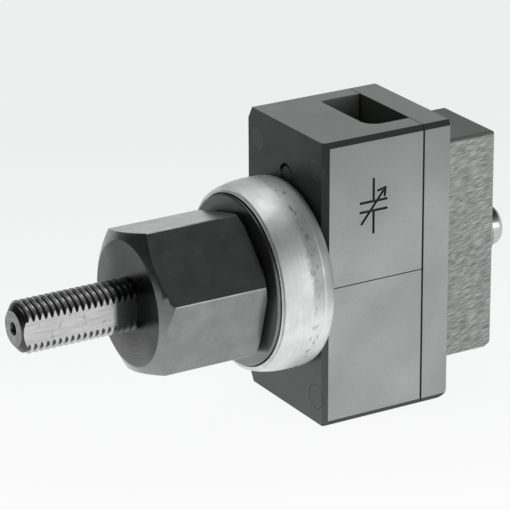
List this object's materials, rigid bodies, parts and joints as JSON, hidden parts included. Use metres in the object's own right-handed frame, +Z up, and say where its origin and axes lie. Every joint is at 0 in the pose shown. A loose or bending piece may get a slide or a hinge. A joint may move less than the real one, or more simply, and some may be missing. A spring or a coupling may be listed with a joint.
{
  "type": "variable tuning capacitor",
  "caption": "Small air-dielectric variable capacitor: metal case, ball-bearing ring, hexagonal hub and threaded spindle that swings the inner plates.",
  "frame": {"origin": "on the spindle axis, in the plane of the case's front face", "axes": "+Y rearward along the spindle, whose threaded end points to -Y; +X to the marked side; +Z up"},
  "size_m": [0.022, 0.0627, 0.0337],
  "materials": {
    "case": "satin grey, fine ground",
    "block": "milled, diagonal cutter marks",
    "gasket": "matt",
    "bronze": "turned",
    "screw_steel": "bright",
    "screw_ends": "ground flush",
    "cup": "satin turned",
    "bearing_steel": "polished",
    "plates": "rolled sheet",
    "terminal": "tinned",
    "insulator": "glazed",
    "spindle": "bright turned",
    "hub": "dark turned and milled",
    "shield": "satin"
  },
  "bodies": {
    "case": {"front_housing": "case", "rear_cover": "case", "cover_gasket": "gasket", "rear_block": "block", "rear_bush": "bronze", "block_screws": "screw_steel", "housing_screws": "screw_ends", "bearing_cup": "cup", "cup_nut": "screw_steel", "stop_pin": "screw_steel", "bearing_outer_race": "bearing_steel", "bearing_circlip": "screw_steel", "stator_plates": "plates", "stator_spacers": "plates", "stator_posts": "plates", "terminal_post": "terminal", "front_insulators": "insulator", "rear_insulators": "insulator", "stator_nuts": "plates", "solder_terminal": "terminal", "contact_spring": "bronze", "contact_screw": "screw_steel"},
    "rotor": {"spindle": "spindle", "hex_hub": "hub", "front_shield": "shield", "bearing_inner_race": "bearing_steel", "stop_sector": "screw_steel", "rotor_plates": "plates", "rotor_spacers": "plates", "rotor_lock_washer": "screw_steel", "rotor_nut": "screw_steel", "rear_thrust_washer": "screw_steel", "rear_retaining_ring": "screw_steel"},
    "ball_cage": {"bearing_balls": "bearing_steel", "bearing_cage": "bronze"}
  },
  "joints": [
    {"name": "rotor_spin", "type": "hinge", "parent": "case", "child": "rotor", "pos_m": [0, 0, 0], "axis": [0, 1, 0], "range_deg": [0, 180]},
    {"name": "cage_spin", "type": "hinge", "parent": "case", "child": "ball_cage", "pos_m": [0, 0, 0], "axis": [0, 1, 0], "range_deg": [0, 75]}
  ],
  "couplings": [
    {"joint": "cage_spin", "follows": "rotor_spin", "ratio": 0.4125}
  ]
}
